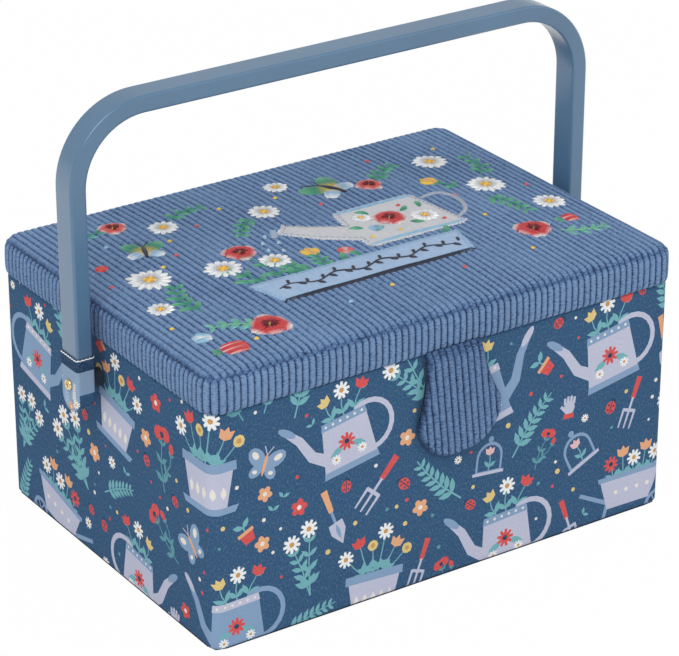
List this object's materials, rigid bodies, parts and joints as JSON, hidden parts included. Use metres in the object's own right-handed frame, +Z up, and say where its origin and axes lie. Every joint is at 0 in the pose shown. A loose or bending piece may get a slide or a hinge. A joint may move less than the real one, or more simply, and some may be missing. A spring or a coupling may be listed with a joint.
{
  "type": "sewing box",
  "caption": "Cloth-covered sewing box with a padded corduroy lid, closing tab, swinging arch handle and a tray inside.",
  "frame": {"origin": "middle of the box's underside", "axes": "+X to the right along the long front, +Y to the hinge side, +Z up"},
  "size_m": [0.2964, 0.195, 0.238],
  "materials": {
    "printed_cloth": "printed cotton, navy ground",
    "dark_cloth": "matt navy cotton",
    "corduroy": "ribbed cotton, mid blue",
    "card": "grey card",
    "lining_cloth": "pale blue satin",
    "foam": "open foam",
    "linen": "pale grey linen",
    "chambray": "light blue chambray",
    "handle_plastic": "satin moulded plastic, blue",
    "tray_plastic": "frosted moulded plastic",
    "brass": "polished",
    "steel": "plated",
    "magnet": "nickel plated",
    "ribbon": "satin ribbon",
    "pincushion_cloth": "cotton velvet, coral"
  },
  "bodies": {
    "root": {"base_cover": "dark_cloth", "base_board": "card", "wall_front": "card", "wall_back": "card", "wall_left": "card", "wall_right": "card", "outer_cover": "printed_cloth", "lining_floor": "lining_cloth", "lining_front": "lining_cloth", "lining_back": "lining_cloth", "lining_left": "lining_cloth", "lining_right": "lining_cloth", "catch_plate": "steel", "hinge_cloth": "dark_cloth", "stay_ribbon_left": "ribbon", "stay_ribbon_right": "ribbon"},
    "handle_pivots": {"rivet_left": "brass", "rivet_right": "brass", "spacer_left": "handle_plastic", "spacer_right": "handle_plastic"},
    "handle": {"handle_arch": "handle_plastic", "handle_sleeve_left": "printed_cloth", "handle_sleeve_right": "printed_cloth"},
    "tray": {"sewing_tray": "tray_plastic"},
    "lid": {"lid_board": "card", "lid_rim_frame": "card", "lid_padding": "foam", "lid_top_cover": "corduroy", "lid_rim_band": "corduroy", "applique_planter": "chambray", "applique_can": "linen", "lid_lining": "lining_cloth", "lid_rim_lining": "lining_cloth", "lid_pocket": "lining_cloth", "pocket_elastic": "ribbon", "pincushion": "pincushion_cloth"},
    "tab": {"tab_cover": "corduroy", "tab_lining": "dark_cloth", "tab_core": "card", "tab_magnet": "magnet"}
  },
  "joints": [
    {"name": "lid_hinge", "type": "hinge", "parent": "root", "child": "lid", "pos_m": [0, 0.0958, 0.121], "axis": [-1, 0, 0], "range_deg": [0, 100]},
    {"name": "pivot_turn", "type": "hinge", "parent": "root", "child": "handle_pivots", "pos_m": [0, 0.002, 0.102], "axis": [-1, 0, 0], "range_deg": [0, 100]},
    {"name": "handle_swing", "type": "hinge", "parent": "handle_pivots", "child": "handle", "pos_m": [0, 0.002, 0.102], "axis": [-1, 0, 0], "range_deg": [-100, 0]},
    {"name": "tab_flex", "type": "hinge", "parent": "lid", "child": "tab", "pos_m": [0, -0.0961, 0.1207], "axis": [-1, 0, 0], "range_deg": [0, 90]},
    {"name": "tray_lift", "type": "slide", "parent": "root", "child": "tray", "axis": [0, 0, 1], "range_m": [0, 0.005]}
  ],
  "couplings": [
    {"joint": "pivot_turn", "follows": "lid_hinge", "ratio": 1}
  ]
}
